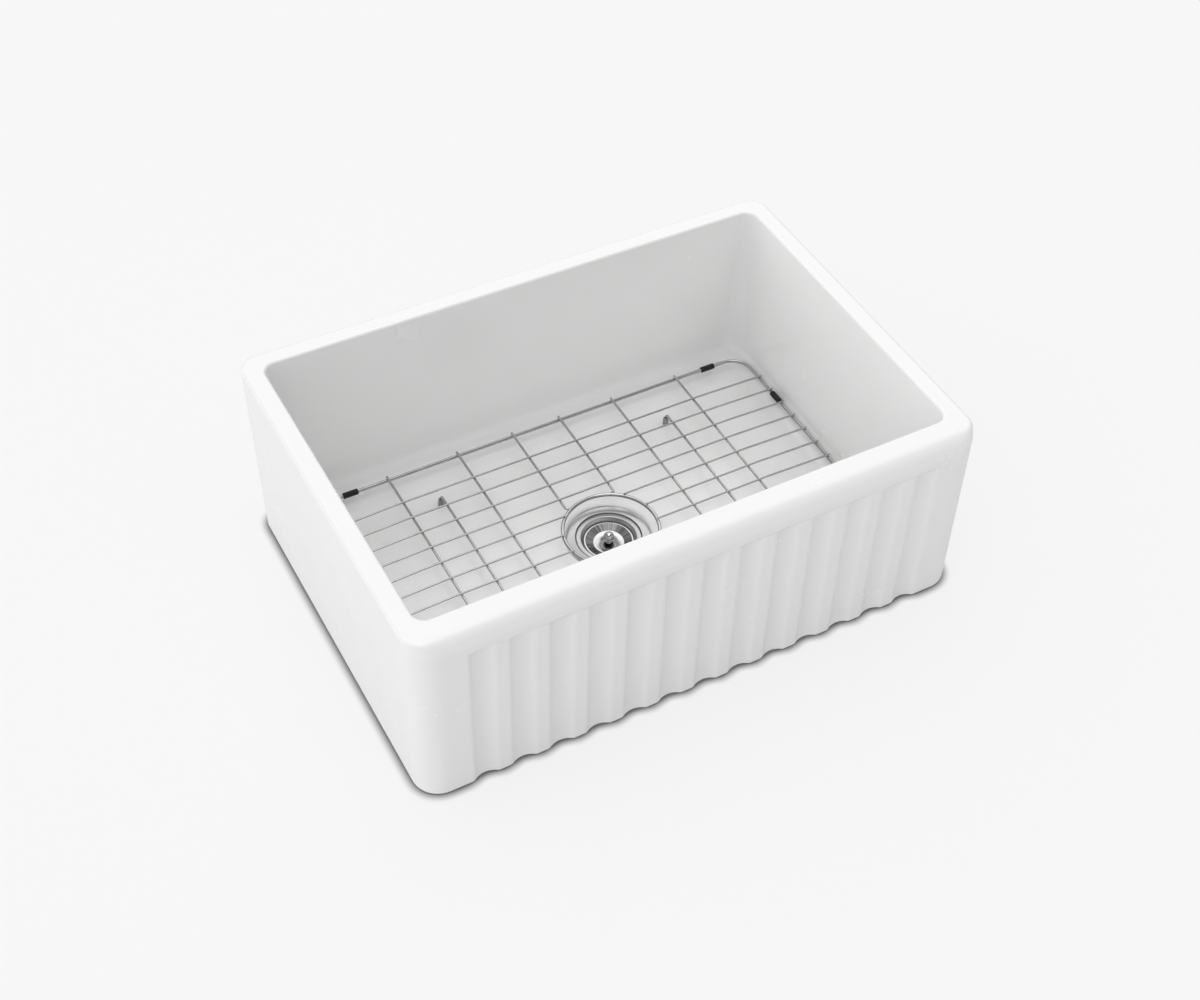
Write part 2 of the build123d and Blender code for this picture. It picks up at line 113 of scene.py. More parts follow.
# ---------------------------------------------------------------- settings
class SinkBasinSizes(bpy.types.PropertyGroup):
    """Sizes of the fireclay basin."""

    side_rim: length("Side rim", 25.4 * MM, "Width of the rim at the left and right")
    back_rim: length("Back rim", 24.4 * MM, "Width of the rim at the back")
    front_rim: length("Front rim", 43.6 * MM, "Width of the rim at the apron")
    front_corner: length("Front corner radius", 34 * MM, "Upright corner radius at the apron")
    back_corner: length("Back corner radius", 24 * MM, "Upright corner radius at the back")
    front_roll: length("Front roll", 21 * MM, "Radius of the roll along the front top edge")
    edge_round: length("Edge round", 4.5 * MM, "Radius of the side and back top edges")
    base_round: length("Base round", 3 * MM, "Radius of the bottom edge")
    mouth_round: length("Mouth round", 3 * MM, "Radius of the edge where the rim meets the bowl")
    back_lean: length("Back lean", 12 * MM, "How far the back leans in at the base")
    floor_level: length("Floor level", 28 * MM, "Height of the bowl floor")
    mouth_corner: length("Mouth corner radius", 16 * MM, "Corner radius of the bowl at the rim")
    floor_corner: length("Floor corner radius", 32 * MM, "Corner radius of the bowl near the floor")
    side_wall_lean: length("Side wall lean", 17 * MM, "How far the side walls lean in at the floor")
    back_wall_lean: length("Back wall lean", 15 * MM, "How far the back wall leans in at the floor")
    front_wall_lean: length("Front wall lean", 10 * MM, "How far the front wall leans in at the floor")
    cove: length("Cove radius", 22 * MM, "Radius between the walls and the floor")
    flute_count: number("Flutes", 13, 1, "Number of flutes in the apron")
    flute_pitch: length("Flute pitch", 50 * MM, "Distance from flute to flute")
    flute_width: length("Flute width", 32 * MM, "Width of a flute at the face")
    flute_depth: length("Flute depth", 6.3 * MM, "Depth of a flute")
    flute_arris: length("Flute arris", 6 * MM, "Rounding between flute and face")
    ridge_inset: length("Ridge inset", 0.8 * MM, "How far the ridges lie behind the band")
    band_height: length("Apron band", 30 * MM, "Height of the plain band over the flutes")
    drain_hole: length("Drain hole radius", 46.5 * MM, "Radius of the hole in the floor")
    drain_seat: length("Drain seat radius", 57.4 * MM, "Radius of the seat the flange lies in")
    seat_depth: length("Seat depth", 2.6 * MM, "Depth of the seat under the floor")
    lip_underside: length("Lip underside", 13 * MM, "Height of the underside of the drain lip")
    recess_radius: length("Recess radius", 66 * MM, "Radius of the hollow under the drain")


class GridSizes(bpy.types.PropertyGroup):
    """Sizes of the wire grid."""

    frame_radius: length("Frame wire radius", 2.5 * MM, "Radius of the frame and drain ring wire")
    cross_radius: length("Cross wire radius", 1.75 * MM, "Radius of the cross and leg wires")
    long_radius: length("Long wire radius", 1.4 * MM, "Radius of the long wires")
    frame_bend: length("Frame bend", 30 * MM, "Bend radius of the frame corners")
    long_bend: length("Long bend", 25 * MM, "Bend radius where a long wire steps down to the frame")
    leg_bend: length("Leg bend", 6 * MM, "Bend radius of the legs")
    neck_bend: length("Neck bend", 3 * MM, "Bend radius where a cross wire turns to the drain ring")
    weld_size: length("Weld size", 1.5 * MM, "Half length of a weld nugget")
    ring_steps: number("Ring steps", 120, 16, "Steps round the drain ring")
    rubber_steps: number("Rubber steps", 40, 12, "Steps round a rubber piece")


class StrainerSizes(bpy.types.PropertyGroup):
    """Sizes of the basket strainer."""

    flange_radius: length("Flange radius", 56.5 * MM, "Outer radius of the flange")
    bore_radius: length("Bore radius", 43.6 * MM, "Inner radius of the flange")
    segments: number("Segments", 160, 16, "Steps round each turned piece")
    knob_steps: number("Knob steps", 64, 12, "Steps round the knob")
    basket_holes: number("Basket holes", 8, 1, "Holes round the middle one")
    basket_slots: number("Basket slots", 18, 1, "Slots round the basket")


class FinishColours(bpy.types.PropertyGroup):
    """Colours and gloss of the finishes."""

    glaze: colour("Glaze", (0.9, 0.9, 0.897, 1), "White fireclay glaze")
    steel: colour("Wire steel", (0.52, 0.52, 0.524, 1), "Electropolished wire")
    brushed: colour("Brushed steel", (0.5, 0.5, 0.503, 1), "Brushed strainer steel")
    polished: colour("Polished steel", (0.6, 0.6, 0.603, 1), "Polished strainer steel")
    bumper: colour("Bumper rubber", (0.012, 0.012, 0.013, 1), "Black rubber")
    foot: colour("Foot rubber", (0.33, 0.33, 0.33, 1), "Grey rubber")
    # Painted reflection: the lid's slope gets this dark colour to stand for the dark studio it would
    # reflect. It is not a machined finish of its own.
    painted_reflection: colour("Lid cone", (0.2, 0.2, 0.202, 1), "Ground slope of the lid")
    seal: colour("Seal rubber", (0.03, 0.03, 0.03, 1), "Seal rubber")
    fibre: colour("Fibre washer", (0.30, 0.21, 0.12, 1), "Pressed fibre")
    nut: colour("Nut metal", (0.35, 0.35, 0.36, 1), "Cast nut metal")
    floor: colour("Studio floor", (0.8, 0.8, 0.8, 1), "Floor as the object sees it")
    seen_floor: colour("Seen floor", (0.2, 0.2, 0.2, 1), "Floor as the camera sees it")


class StageSettings(bpy.types.PropertyGroup):
    """Camera and lamps."""

    focal_length: FloatProperty(
        name="Focal length", default=54.76, unit="CAMERA", description="Lens in millimetres"
    )
    key_strength: amount("Key light", 0.35, "Strength of the overhead lamp")
    sky_base: amount("Sky base", 1.0, "Even part of the surrounding light")
    sky_top: amount("Sky top", -0.1, "Light added towards the top")
    sky_side: amount("Sky side", 0.88, "Low light moved from right to left")
    sky_front: amount("Sky front", 0.9, "Low light taken off at the front")
    box_base: amount("Studio walls", 0.15, "What reflections see off the soft box")
    box_strength: amount("Soft box", 1.4, "Soft box behind the sink that reflections see")
    strip_strength: amount("Overhead strip", 2.0, "Small lamp that reflections see")
    backdrop: amount("Backdrop", 0.92, "Brightness of the backdrop as it is seen")
    floor_glow: amount("Floor glow", 0.73, "Even light of the floor as it is seen")
    contact_reach: length("Contact shadow", 14 * MM, "How far the shadow under the basin's edge reaches")
    floor_reach: length("Floor reach", 12.0, "Half width of the studio floor")


SETTINGS = {
    "sink_basin": SinkBasinSizes,
    "sink_grid": GridSizes,
    "sink_strainer": StrainerSizes,
    "sink_finish": FinishColours,
    "sink_stage": StageSettings,
}


# ---------------------------------------------------------------- node helpers
def feed(tree, socket, source):
    """Links an input to another node's output, or sets it to a value."""
    if isinstance(source, bpy.types.NodeSocket):
        tree.links.new(source, socket)
    else:
        socket.default_value = source


def add_node(tree, kind, **settings):
    """A node with its plain settings set and its inputs linked or filled in."""
    node = tree.nodes.new(kind)
    for key, value in settings.items():
        label = key.replace("_", " ")
        if label in node.inputs:
            feed(tree, node.inputs[label], value)
        else:
            setattr(node, key, value)
    return node


def new_group(name, inputs, outputs):
    """An empty shader node group with float inputs and outputs."""
    group = bpy.data.node_groups.new(name, "ShaderNodeTree")
    for label, default in inputs.items():
        socket = group.interface.new_socket(label, in_out="INPUT", socket_type="NodeSocketFloat")
        socket.default_value = default
    for label in outputs:
        group.interface.new_socket(label, in_out="OUTPUT", socket_type="NodeSocketFloat")
    return group, group.nodes.new("NodeGroupInput"), group.nodes.new("NodeGroupOutput")


def math_node(tree, operation, first, second=None):
    """A Math node's result, from sockets or numbers."""
    node = add_node(tree, "ShaderNodeMath", operation=operation)
    for socket, source in zip(node.inputs, (first, second)):
        if source is not None:
            feed(tree, socket, source)
    return node.outputs[0]


def summed(tree, first, *others):
    """The sum of several sockets or numbers."""
    for other in others:
        first = math_node(tree, "ADD", first, other)
    return first


def ramp(tree, source, low, high, start=0.0, end=1.0):
    """A mask's range from start to end, mapped to low to high."""
    node = add_node(
        tree, "ShaderNodeMapRange", From_Min=start, From_Max=end, To_Min=low, To_Max=high, Value=source
    )
    return node.outputs["Result"]


def mix(tree, kind, mask, first, second):
    """A mix by a mask of two colours, for the kind RGBA, or two numbers, for FLOAT."""
    node = add_node(tree, "ShaderNodeMix", data_type=kind, Factor=mask, A=first, B=second)
    return node.outputs["Result"]


def bump(tree, height, strength, distance, under=None):
    """A Bump node's normal, laid over another where one is given."""
    node = add_node(tree, "ShaderNodeBump", Strength=strength, Distance=distance, Height=height)
    if under is not None:
        feed(tree, node.inputs["Normal"], under)
    return node.outputs["Normal"]


def darker(rgba, share):
    """The same colour scaled in brightness."""
    return tuple(channel * share for channel in rgba[:3]) + (1.0,)


# ---------------------------------------------------------------- effects that finishes share
def mottle_group():
    """Soft cloudy variation and fine grain in object space."""
    group, given, result = new_group("mottle", {"Scale": 20.0, "Grain": 900.0}, ("Cloud", "Grain"))
    place = group.nodes.new("ShaderNodeTexCoord").outputs["Object"]
    for size, mask in (("Scale", "Cloud"), ("Grain", "Grain")):
        noise = add_node(
            group, "ShaderNodeTexNoise", Detail=4.0, Roughness=0.55, Vector=place, Scale=given.outputs[size]
        )
        feed(group, result.inputs[mask], noise.outputs["Fac"])
    return group


def turning_marks_group():
    """Rings round an upright axis, as brushing leaves them on a turned piece, and noise by angle round it
    that paints highlight stripes as a reflection would show them.
    """
    inputs = {"Centre X": 0.0, "Centre Y": 0.0, "Rings": 1500.0}
    group, given, result = new_group("turning marks", inputs, ("Marks", "Streaks", "Radius"))
    place = group.nodes.new("ShaderNodeTexCoord").outputs["Object"]
    split = add_node(group, "ShaderNodeSeparateXYZ", Vector=place)
    across = math_node(group, "SUBTRACT", split.outputs["X"], given.outputs["Centre X"])
    along = math_node(group, "SUBTRACT", split.outputs["Y"], given.outputs["Centre Y"])
    squares = [math_node(group, "MULTIPLY", offset, offset) for offset in (across, along)]
    radius = math_node(group, "SQRT", summed(group, *squares))
    travel = math_node(group, "ADD", radius, split.outputs["Z"])
    rings = math_node(group, "MULTIPLY", travel, given.outputs["Rings"])
    angle = math_node(group, "ARCTAN2", along, across)
    # Marks are the brushing rings. Highlights is noise by angle that only paints highlight stripes.
    for mask, way, scale in (("Marks", rings, 1.0), ("Streaks", angle, 9.0)):
        noise = add_node(
            group, "ShaderNodeTexNoise", noise_dimensions="1D", Detail=3.0, Scale=scale, W=way
        )
        feed(group, result.inputs[mask], noise.outputs["Fac"])
    feed(group, result.inputs["Radius"], radius)
    return group


def placed(tree, group, **values):
    """The outputs of a shader group that is placed in a material with its own values."""
    return add_node(tree, "ShaderNodeGroup", node_tree=group, **values).outputs


# ---------------------------------------------------------------- materials
def shade(name, **sockets):
    """A material's tree and shader. The plain material that the frame brings under its name gives it up."""
    plain = bpy.data.materials.get(name)
    if plain:
        plain.name = "plain_" + name
    material = bpy.data.materials.new(name)
    material.use_nodes = True
    tree = material.node_tree
    shader = tree.nodes["Principled BSDF"]
    for label, value in sockets.items():
        shader.inputs[label.replace("_", " ")].default_value = value
    return tree, shader


def dress(tree, shader, masks, rgba, shadow, gloss=None, relief=None, span=(0.3, 0.7)):
    """Colour, gloss and relief of a finish, each by its own mask. Gives the colour's socket."""
    for_colour, for_gloss, for_relief = masks
    mask = ramp(tree, for_colour, 0.0, 1.0, *span)
    paint = mix(tree, "RGBA", mask, darker(rgba, shadow), tuple(rgba))
    feed(tree, shader.inputs["Base Color"], paint)
    if gloss:
        feed(tree, shader.inputs["Roughness"], ramp(tree, for_gloss, *gloss, 0.3, 0.7))
    if relief:
        feed(tree, shader.inputs["Normal"], bump(tree, for_relief, *relief))
    return paint


def glazed_fireclay(colours, mottle):
    """White glaze: faint tone clouds, an uneven gloss, a slight ripple and a fine grain."""
    tree, shader = shade("glazed_fireclay", Coat_Weight=0.35, Coat_Roughness=0.08)
    cloud = placed(tree, mottle, Scale=9.0, Grain=420.0)["Cloud"]
    dress(tree, shader, (cloud, cloud, None), colours.glaze, 0.992, (0.22, 0.28), span=(0.35, 0.65))
    ripple, grain = placed(tree, mottle, Scale=26.0, Grain=220.0)
    rippled = bump(tree, ripple, 0.06, 0.4 * MM)
    feed(tree, shader.inputs["Normal"], bump(tree, grain, 0.02, 0.1 * MM, rippled))


def wire_steel(colours, mottle):
    """Electropolished wire with a slightly drawn, uneven gloss."""
    tree, shader = shade("wire_steel", Metallic=1.0)
    cloud, grain = placed(tree, mottle, Scale=60.0, Grain=1600.0)
    dress(tree, shader, (cloud, grain, grain), colours.steel, 0.86, (0.1, 0.22), (0.12, 0.08 * MM))


def turned_steel(name, rgba, marks_group, rough, relief, painted_reflection=None):
    """Steel with rings round the drain axis and a gloss drawn out across them, and, where asked, a painted
    dark reflection with painted highlight stripes on the lid's slope.
    """
    tree, shader = shade(name, Metallic=1.0, Anisotropic=0.8)
    tangent = add_node(tree, "ShaderNodeTangent", direction_type="RADIAL", axis="Z")
    feed(tree, shader.inputs["Tangent"], tangent.outputs["Tangent"])
    marks, highlight_noise, radius = placed(
        tree, marks_group, Centre_X=DRAIN.x, Centre_Y=DRAIN.y, Rings=2600.0
    )
    gloss = (rough, rough + 0.12)
    steel = dress(tree, shader, (marks, marks, marks), rgba, 0.84, gloss, (relief, 0.06 * MM))
    # Painted reflection on the lid's slope: a dark colour with lighter and darker stripes by angle,
    # standing for the reflections the slope would show.
    if painted_reflection:
        inner, outer, reflection_shade = painted_reflection
        edge = 0.3 * MM
        past_inner = ramp(tree, radius, 0.0, 1.0, inner - edge, inner + edge)
        within_outer = ramp(tree, radius, 1.0, 0.0, outer - edge, outer + edge)
        highlight_mask = ramp(tree, highlight_noise, 0.0, 1.0, 0.38, 0.66)
        reflection_paint = mix(tree, "RGBA", highlight_mask, darker(reflection_shade, 0.45), tuple(reflection_shade))
        slope = math_node(tree, "MULTIPLY", past_inner, within_outer)
        feed(tree, shader.inputs["Base Color"], mix(tree, "RGBA", slope, steel, reflection_paint))


def rubber(name, rgba, mottle, rough):
    """Moulded rubber with a fine matt grain."""
    tree, shader = shade(name, Specular_IOR_Level=0.35)
    cloud, grain = placed(tree, mottle, Scale=160.0, Grain=2600.0)
    dress(tree, shader, (cloud, grain, grain), rgba, 0.75, (rough, rough + 0.18), (0.3, 0.1 * MM))


def pressed_fibre(colours, mottle):
    """Pressed fibre with flecks."""
    tree, shader = shade("fibre_washer", Roughness=0.85)
    cloud, grain = placed(tree, mottle, Scale=220.0, Grain=3200.0)
    masks = (grain, None, cloud)
    dress(tree, shader, masks, colours.fibre, 0.6, relief=(0.4, 0.2 * MM), span=(0.35, 0.65))


def cast_metal(colours, mottle):
    """Dull cast metal with a sandy skin."""
    tree, shader = shade("cast_nut_metal", Metallic=1.0)
    cloud, grain = placed(tree, mottle, Scale=90.0, Grain=1900.0)
    dress(tree, shader, (cloud, grain, grain), colours.nut, 0.7, (0.38, 0.6), (0.35, 0.2 * MM))


def make_materials():
    """All finishes of the object. Each has the name of its slot in the record."""
    colours = bpy.context.scene.sink_finish
    mottle, marks = mottle_group(), turning_marks_group()
    # The lid's slope gets a painted dark reflection with painted highlight stripes.
    painted_reflection = (DISC_RADIUS, half_width("basket_lid") - LID_RIM, colours.painted_reflection)
    glazed_fireclay(colours, mottle)
    wire_steel(colours, mottle)
    turned_steel("brushed_strainer_steel", colours.brushed, marks, 0.24, 0.5)
    turned_steel("polished_strainer_steel", colours.polished, marks, 0.1, 0.2, painted_reflection)
    rubber("black_rubber", colours.bumper, mottle, 0.42)
    rubber("grey_rubber", colours.foot, mottle, 0.5)
    rubber("seal_rubber", colours.seal, mottle, 0.6)
    pressed_fibre(colours, mottle)
    cast_metal(colours, mottle)


def finish_piece(obj, slot, body, *nodes):
    """Material, record slot, body and replaced CAD nodes of one finished piece."""
    obj.data.materials.clear()
    obj.data.materials.append(bpy.data.materials[slot])
    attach(obj, body)
    if nodes:
        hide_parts(*nodes)
    return obj


# ---------------------------------------------------------------- mesh helpers
def new_object(name, data):
    """An object in the scene that holds some data."""
    obj = bpy.data.objects.new(name, data)
    bpy.context.scene.collection.objects.link(obj)
    return obj


def mesh_object(name, points, faces, smooth=True):
    """A mesh object with its normals pointing outwards."""
    mesh = bpy.data.meshes.new(name)
    mesh.from_pydata([tuple(p) for p in points], [], faces)
    mesh.validate()
    work = bmesh.new()
    work.from_mesh(mesh)
    bmesh.ops.remove_doubles(work, verts=work.verts, dist=MERGE_DISTANCE)
    bmesh.ops.recalc_face_normals(work, faces=work.faces)
    work.to_mesh(mesh)
    work.free()
    for face in mesh.polygons:
        face.use_smooth = smooth
    return new_object(name, mesh)


def applied(obj):
    """The plain mesh that an object's modifiers give."""
    bpy.context.view_layer.update()
    return bpy.data.meshes.new_from_object(obj.evaluated_get(bpy.context.evaluated_depsgraph_get()))


def full_turn(count):
    """Even angles round a circle."""
    return [2 * math.pi * step / count for step in range(count)]


def quarter_turn(steps):
    """Even angles from 0 to 90 degrees, with both ends."""
    return [math.radians(90 * step / steps) for step in range(steps + 1)]


def arc(centre, radius, start, end, steps):
    """Points on an arc in a plane, by its start and end angle in degrees."""
    angles = [math.radians(start + (end - start) * step / steps) for step in range(steps + 1)]
    return [(centre[0] + radius * math.cos(a), centre[1] + radius * math.sin(a)) for a in angles]


def eased_outline(turns, steps=5):
    """Closed outline of (x, y, round) corners with every corner rounded to its own radius."""
    eased = []
    for index, (x, y, radius) in enumerate(turns):
        if radius <= 0:
            eased.append((x, y))
            continue
        here = Vector((x, y))
        before = Vector(turns[index - 1][:2]) - here
        after = Vector(turns[(index + 1) % len(turns)][:2]) - here
        turn = before.angle(after)
        reach = min(radius / math.tan(turn / 2), 0.48 * before.length, 0.48 * after.length)
        start, end = here + before.normalized() * reach, here + after.normalized() * reach
        for step in range(steps + 1):
            t = step / steps
            point = start * (1 - t) ** 2 + here * 2 * t * (1 - t) + end * t**2
            eased.append((point.x, point.y))
    return eased


def lathe(name, profile, centre, segments):
    """Turned solid round an upright axis from a closed (radius, height) outline."""
    points, faces = [], []
    rows = len(profile)
    for angle in full_turn(segments):
        for radius, height in profile:
            reach = max(radius, 0.0)
            x, y = reach * math.cos(angle), reach * math.sin(angle)
            points.append((centre[0] + x, centre[1] + y, height))
    for turn in range(segments):
        here, there = turn * rows, ((turn + 1) % segments) * rows
        for row in range(rows):
            below = (row + 1) % rows
            if profile[row][0] <= 0 and profile[below][0] <= 0:
                continue
            faces.append((here + row, there + row, there + below, here + below))
    return mesh_object(name, points, faces)


# ---------------------------------------------------------------- the basin
def flute_profile(sizes):
    """Depth of the flutes at an offset from a flute's middle, with rounded arrises."""
    half, depth, arris = sizes.flute_width / 2, sizes.flute_depth, sizes.flute_arris
    radius = (half**2 + depth**2) / (2 * depth)
    rise = radius - depth
    reach = math.sqrt((radius + arris) ** 2 - (rise + arris) ** 2)
    meet = reach * radius / (radius + arris)

    def depth_at(offset):
        offset = abs(offset)
        if offset <= meet:
            return math.sqrt(radius**2 - offset**2) - rise
        if offset < reach:
            return arris - math.sqrt(arris**2 - (reach - offset) ** 2)
        return 0.0

    return depth_at


class BasinShell:
    """Closed skin of the basin, made as loops that all have the same number of points."""

    corner_steps, side_steps, back_steps, flute_steps = 16, 26, 44, 26

    def __init__(self, sizes):
        self.sizes = sizes
        self.low, self.high = BASIN_LOW, BASIN_HIGH
        self.half = self.high.x
        self.straight = self.half - sizes.front_corner
        pitch, count = sizes.flute_pitch, sizes.flute_count
        span = pitch * count / 2
        self.columns = [-self.straight, -(self.straight + span) / 2]
        steps = count * self.flute_steps
        self.columns += [-span + 2 * span * step / steps for step in range(steps + 1)]
        self.columns += [(self.straight + span) / 2, self.straight]
        depth_at = flute_profile(sizes)
        middles = [pitch * (index - (count - 1) / 2) for index in range(count)]
        self.depths = []
        for x in self.columns:
            depth = depth_at(min((x - m for m in middles), key=abs))
            if abs(x) < middles[-1]:
                depth = sizes.ridge_inset + depth * (1 - sizes.ridge_inset / sizes.flute_depth)
            self.depths.append(depth)

    def outline(self, side, front, back, front_radius, back_radius, height, flute=0.0):
        """A rounded rectangle that starts at the front left and runs round to it again."""
        near, far = front + front_radius, back - back_radius
        front_side, back_side = side - front_radius, side - back_radius
        steps = self.corner_steps
        reach = front_side / self.straight
        loop = [(x * reach, front + flute * d) for x, d in zip(self.columns, self.depths)]
        loop += arc((front_side, near), front_radius, -90, 0, steps)[1:]
        loop += self.run((side, near), (side, far), self.side_steps)
        loop += arc((back_side, far), back_radius, 0, 90, steps)[1:]
        loop += self.run((back_side, back), (-back_side, back), self.back_steps)
        loop += arc((-back_side, far), back_radius, 90, 180, steps)[1:]
        loop += self.run((-side, far), (-side, near), self.side_steps)
        loop += arc((-front_side, near), front_radius, 180, 270, steps)[1:-1]
        return [Vector((x, y, height)) for x, y in loop]

    def run(self, start, end, steps):
        """Even points on a straight run, without its first."""
        return [
            (start[0] + (end[0] - start[0]) * k / steps, start[1] + (end[1] - start[1]) * k / steps)
            for k in range(1, steps + 1)
        ]

    def body(self, height, side_inset=0.0, front_inset=0.0, flute=0.0):
        """Outer loop at a height, drawn in at the sides and the front."""
        sizes = self.sizes
        edge = self.high.z - sizes.edge_round
        lean = sizes.back_lean * max(0.0, edge - height) / edge
        return self.outline(
            self.half - side_inset,
            self.low.y + front_inset,
            self.high.y - side_inset - lean,
            sizes.front_corner - front_inset,
            sizes.back_corner - side_inset,
            height,
            flute,
        )

    def bowl(self, height, inset=0.0):
        """Inner loop at a height, on the leaning walls, drawn in by the cove."""
        sizes = self.sizes
        share = (self.high.z - height) / (self.high.z - sizes.floor_level)
        corner = sizes.mouth_corner + (sizes.floor_corner - sizes.mouth_corner) * share - inset
        return self.outline(
            self.half - sizes.side_rim - sizes.side_wall_lean * share - inset,
            self.low.y + sizes.front_rim + sizes.front_wall_lean * share + inset,
            self.high.y - sizes.back_rim - sizes.back_wall_lean * share - inset,
            corner,
            corner,
            height,
        )

    def circle(self, like, radius, height):
        """A circle round the drain with its points on the same rays as another loop."""
        centre = Vector((DRAIN.x, DRAIN.y, 0))
        points = []
        for point in like:
            ray = Vector((point.x - centre.x, point.y - centre.y, 0)).normalized()
            points.append(Vector((centre.x + ray.x * radius, centre.y + ray.y * radius, height)))
        return points

    def between(self, first, second, shares):
        """Loops part of the way from one loop to another."""
        return [[a.lerp(b, share) for a, b in zip(first, second)] for share in shares]

    def build(self):
        """All loops, from under the drain outwards, up, over the rim and down to the drain."""
        sizes = self.sizes
        top, floor, cove = self.high.z, sizes.floor_level, sizes.cove
        base, roll, edge, mouth = sizes.base_round, sizes.front_roll, sizes.edge_round, sizes.mouth_round
        lip, seat = sizes.lip_underside, floor - sizes.seat_depth
        hole, recess, seat_radius = sizes.drain_hole, sizes.recess_radius, sizes.drain_seat
        ease, bevel = 1.0 * MM, 3 * MM

        foot = self.body(0.0, base, base, 1.0)
        under_drain = (
            (hole, (lip + seat) / 2),
            (hole, lip + ease),
            (hole + ease, lip),
            (recess - ease, lip),
            (recess, lip - ease),
            (recess, ease),
            (recess + ease, 0.0),
        )
        loops = [self.circle(foot, radius, height) for radius, height in under_drain]
        loops += self.between(loops[-1], foot, (0.03, 0.15, 0.4, 0.7, 0.95, 0.99))
        for angle in quarter_turn(6):
            inset = base * (1 - math.sin(angle))
            loops.append(self.body(base * (1 - math.cos(angle)), inset, inset, 1.0))

        flute_top = top - sizes.band_height
        # Heights from the bottom round to just under the flutes' tops.
        fluted = (base + ease, 0.02, 0.06, 0.11, 0.16, 0.21, flute_top - 3 * ease, flute_top - 2 * ease)
        loops += [self.body(height, flute=1.0) for height in fluted]
        # Each flute runs out over 2 mm at its top: (mm above the top, share of the depth that is left).
        for above, share in ((-1.2, 0.96), (-0.7, 0.85), (-0.3, 0.6), (0.0, 0.3), (0.25, 0.1), (0.6, 0.0)):
            loops.append(self.body(flute_top + above * MM, flute=share))
        loops.append(self.body(flute_top + 2 * ease))

        for angle in quarter_turn(20):
            height = top - roll + roll * math.sin(angle)
            into_edge = min(1.0, max(0.0, (height - (top - edge)) / edge))
            side_inset = edge * (1 - math.sqrt(max(0.0, 1 - into_edge**2)))
            loops.append(self.body(height, side_inset, roll * (1 - math.cos(angle))))
        loops += self.between(loops[-1], self.bowl(top, -mouth), (0.04, 0.5, 0.94))
        for angle in quarter_turn(8):
            height = top - mouth * (1 - math.cos(angle))
            loops.append(self.bowl(height, -mouth * (1 - math.sin(angle))))

        wall_start, wall_end, wall_steps = top - mouth - ease, floor + cove + ease, 8
        for step in range(wall_steps + 1):
            loops.append(self.bowl(wall_start + (wall_end - wall_start) * step / wall_steps))
        for angle in quarter_turn(12):
            height = floor + cove * (1 - math.sin(angle))
            loops.append(self.bowl(height, cove * (1 - math.cos(angle))))

        brink = self.circle(foot, seat_radius + bevel + ease, floor)
        loops += self.between(loops[-1], brink, (0.02, 0.1, 0.3, 0.55, 0.8, 0.95)) + [brink]
        into_drain = (
            (seat_radius + bevel - 0.4 * ease, floor - 0.25 * ease),
            (seat_radius + 0.6 * ease, seat + 0.5 * ease),
            (seat_radius - 0.6 * ease, seat),
            (hole + ease, seat),
            (hole, seat - ease),
        )
        loops += [self.circle(foot, radius, height) for radius, height in into_drain]
        return loops


class SINK_OT_basin(bpy.types.Operator):
    """Make the fluted fireclay basin"""

    bl_idname = "sink.basin"
    bl_label = "Basin"

    def execute(self, context):
        loops = BasinShell(context.scene.sink_basin).build()
        count = len(loops[0])
        points = [point for loop in loops for point in loop]
        faces = []
        for row in range(len(loops)):
            here, there = row * count, ((row + 1) % len(loops)) * count
            for k in range(count):
                after = (k + 1) % count
                faces.append((here + k, here + after, there + after, there + k))
        basin = mesh_object("fluted_basin", points, faces)
        finish_piece(basin, "glazed_fireclay", "sink", "sink_basin")
        return {"FINISHED"}


# ---------------------------------------------------------------- geometry node trees
def open_tree(name, **inputs):
    """A geometry tree with named inputs of the given kinds, and the outputs of its input node."""
    tree = bpy.data.node_groups.new(name, "GeometryNodeTree")
    for label, kind in {"Geometry": "Geometry", **inputs, "Material": "Material"}.items():
        socket_type = "NodeSocket" + kind
        tree.interface.new_socket(label.replace("_", " "), in_out="INPUT", socket_type=socket_type)
    tree.interface.new_socket("Geometry", in_out="OUTPUT", socket_type="NodeSocketGeometry")
    return tree, tree.nodes.new("NodeGroupInput").outputs


def close_tree(tree, given, shape):
    """Ends a geometry tree in real geometry with its material."""
    real = add_node(tree, "GeometryNodeRealizeInstances", Geometry=shape).outputs[0]
    paint = add_node(tree, "GeometryNodeSetMaterial", Geometry=real, Material=given["Material"])
    add_node(tree, "NodeGroupOutput", Geometry=paint.outputs[0])
    return tree


def wire_tree():
    """Wires along edges: bends the corners, gives a round section and joins all to one mesh."""
    tree, given = open_tree("round wires", Wire_radius="Float", Bend_radius="Float")
    path = add_node(tree, "GeometryNodeMeshToCurve", Mesh=given["Geometry"])
    bend = add_node(tree, "GeometryNodeFilletCurve", mode="POLY", Curve=path.outputs[0], Count=10)
    feed(tree, bend.inputs["Radius"], given["Bend radius"])
    section = add_node(tree, "GeometryNodeCurvePrimitiveCircle", Resolution=16)
    feed(tree, section.inputs["Radius"], given["Wire radius"])
    skin = add_node(tree, "GeometryNodeCurveToMesh", Curve=bend.outputs[0], Fill_Caps=True)
    feed(tree, skin.inputs["Profile Curve"], section.outputs[0])
    smooth = tree.nodes.new("GeometryNodeSetShadeSmooth")
    feed(tree, smooth.inputs[0], skin.outputs[0])
    return close_tree(tree, given, smooth.outputs[0])


